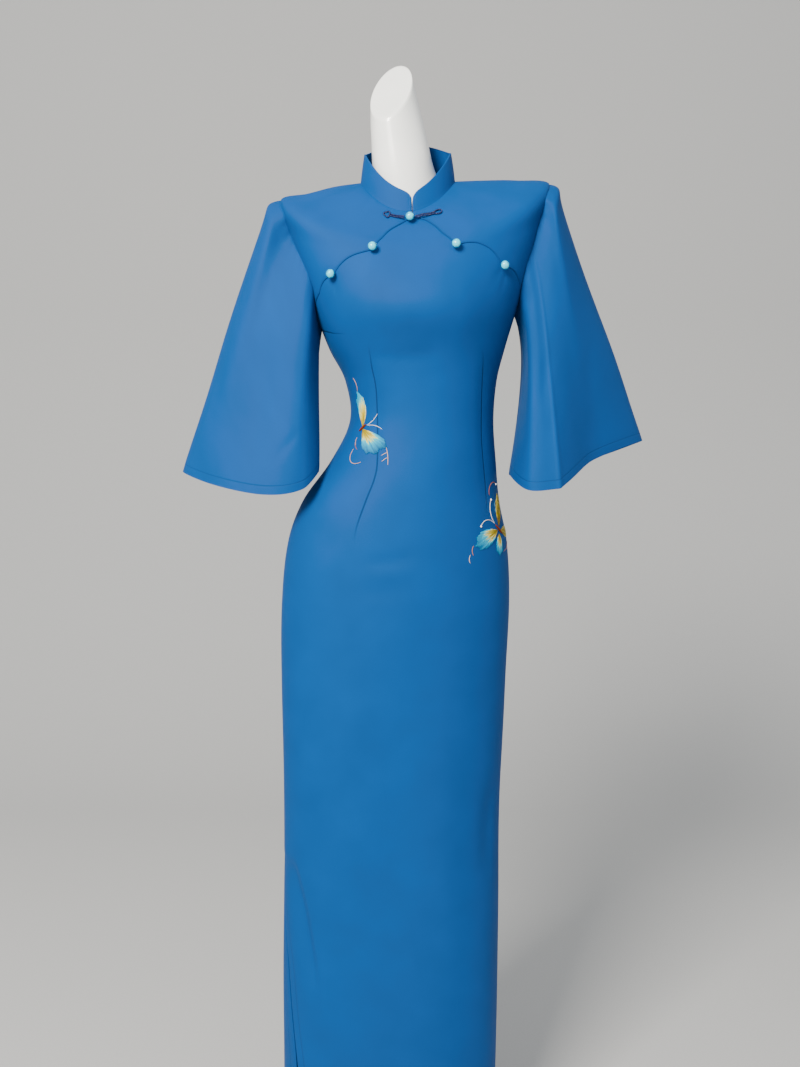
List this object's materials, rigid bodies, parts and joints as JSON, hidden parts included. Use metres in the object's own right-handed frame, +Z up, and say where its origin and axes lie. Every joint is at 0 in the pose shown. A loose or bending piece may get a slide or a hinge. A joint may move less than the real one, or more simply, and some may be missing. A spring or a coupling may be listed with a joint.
{
  "type": "cheongsam dress on dress form",
  "caption": "Long fitted cheongsam with stand collar, scalloped lapel, bell sleeves and side slits, worn by a limbless dress form on a round stand.",
  "frame": {"origin": "centre of the round stand base's underside, on the floor", "axes": "+Z up the stand, the object's longest way; the dress faces -Y and the sleeves reach out along X"},
  "size_m": [0.677, 0.32, 1.6359],
  "materials": {
    "crepe": "matt woven crepe",
    "cord": "twisted cord",
    "button": "pearl gloss",
    "form": "gloss",
    "steel": "satin",
    "base": "satin"
  },
  "bodies": {
    "root": {"front_panel": "crepe", "yoke_left": "crepe", "yoke_right": "crepe", "back_panel": "crepe", "sleeve_left": "crepe", "sleeve_right": "crepe", "collar": "crepe", "piping_left": "crepe", "piping_right": "crepe", "button_left_inner": "button", "button_left_outer": "button", "button_right_inner": "button", "button_right_outer": "button", "collar_button": "button", "frog_left": "cord", "frog_right": "cord", "dress_form": "form", "stand_base": "base", "stand_pole": "steel"}
  },
  "joints": []
}
